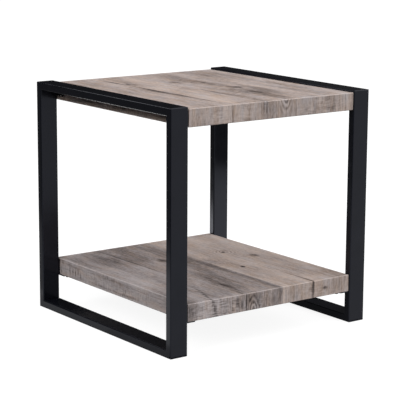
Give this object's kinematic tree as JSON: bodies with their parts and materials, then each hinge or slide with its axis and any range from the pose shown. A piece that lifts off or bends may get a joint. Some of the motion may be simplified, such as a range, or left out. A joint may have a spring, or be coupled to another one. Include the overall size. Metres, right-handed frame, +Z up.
{
  "type": "end table with shelf",
  "caption": "Square end table: closed loops of black rectangular steel tube carry a thick wood-grain top set between the rails and a matching low shelf.",
  "frame": {"origin": "on the floor, at the middle of the table's footprint", "axes": "+X from the left end frame to the right one, +Y from front to rear, +Z up"},
  "size_m": [0.612, 0.6, 0.6],
  "materials": {
    "powder_coat": "satin black powder coat with a fine orange-peel texture",
    "wood_print": "matt grey-brown weathered oak print on folded board",
    "backing": "plain matt grey-brown backing paper",
    "core_wood": "raw fibreboard",
    "insert_metal": "turned",
    "black_screw": "black oxide"
  },
  "bodies": {
    "root": {"bracket_inserts": "insert_metal", "bracket_screws": "black_screw", "bracket_washers": "black_screw", "ear_inserts": "insert_metal", "ear_screws": "black_screw", "ear_washers": "black_screw", "left_bottom_rail": "powder_coat", "left_front_bracket": "powder_coat", "left_front_ear": "powder_coat", "left_front_post": "powder_coat", "left_rear_bracket": "powder_coat", "left_rear_ear": "powder_coat", "left_rear_post": "powder_coat", "left_top_rail": "powder_coat", "right_bottom_rail": "powder_coat", "right_front_bracket": "powder_coat", "right_front_ear": "powder_coat", "right_front_post": "powder_coat", "right_rear_bracket": "powder_coat", "right_rear_ear": "powder_coat", "right_rear_post": "powder_coat", "right_top_rail": "powder_coat", "shelf_base_board": "backing", "shelf_corner_blocks": "core_wood", "shelf_face_board": "wood_print", "shelf_front_edge": "wood_print", "shelf_left_edge": "wood_print", "shelf_rear_edge": "wood_print", "shelf_ribs": "core_wood", "shelf_right_edge": "wood_print", "top_base_board": "backing", "top_corner_blocks": "core_wood", "top_face_board": "wood_print", "top_front_edge": "wood_print", "top_left_edge": "wood_print", "top_rear_edge": "wood_print", "top_ribs": "core_wood", "top_right_edge": "wood_print"}
  },
  "joints": []
}
